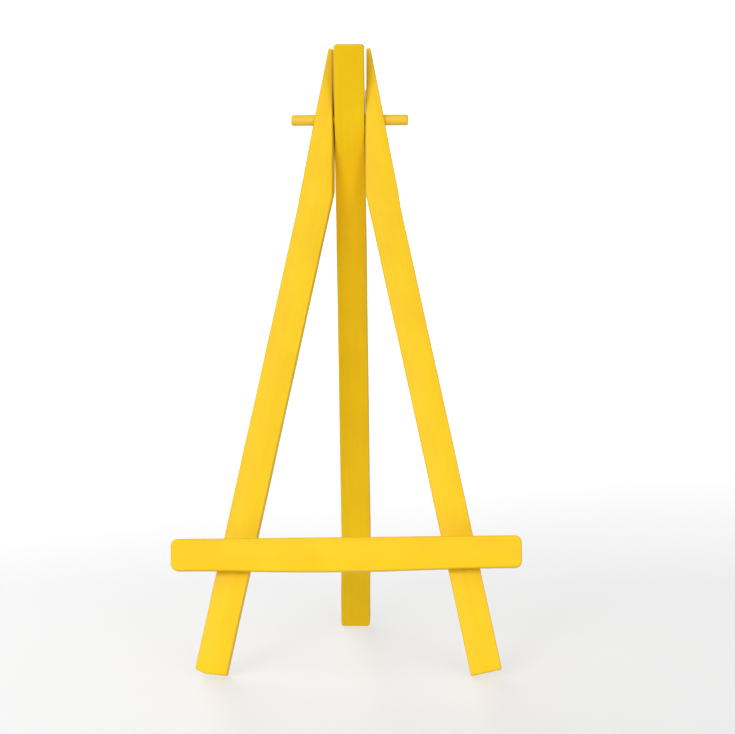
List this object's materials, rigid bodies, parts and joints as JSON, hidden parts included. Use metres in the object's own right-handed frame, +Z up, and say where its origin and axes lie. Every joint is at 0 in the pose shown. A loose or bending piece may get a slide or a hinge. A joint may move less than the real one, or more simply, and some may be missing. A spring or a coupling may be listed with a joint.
{
  "type": "tabletop display easel",
  "caption": "Miniature A-frame tabletop easel: splayed front legs with a canvas ledge and a rear leg that folds on a cross dowel.",
  "frame": {"origin": "middle of the footprint's bounding box, on the floor the three feet stand on", "axes": "+Z up, the front of the easel with its ledge faces -Y, +X to the right as seen from the front"},
  "size_m": [0.09, 0.0798, 0.1612],
  "materials": {
    "painted_wood": "satin yellow paint on smooth sanded softwood",
    "painted_dowel": "satin yellow paint on birch dowel",
    "brad_steel": "bright drawn wire"
  },
  "bodies": {
    "front_frame": {"front_leg_left": "painted_wood", "front_leg_right": "painted_wood", "pivot_dowel": "painted_dowel", "canvas_ledge": "painted_wood", "ledge_brad_left": "brad_steel", "ledge_brad_right": "brad_steel"},
    "rear_leg": {"rear_leg": "painted_wood"}
  },
  "joints": [
    {"name": "rear_leg_fold", "type": "hinge", "parent": "front_frame", "child": "rear_leg", "pos_m": [0, -0.00454, 0.14134], "axis": [1, 0, 0], "range_deg": [-29.3, 60]}
  ]
}
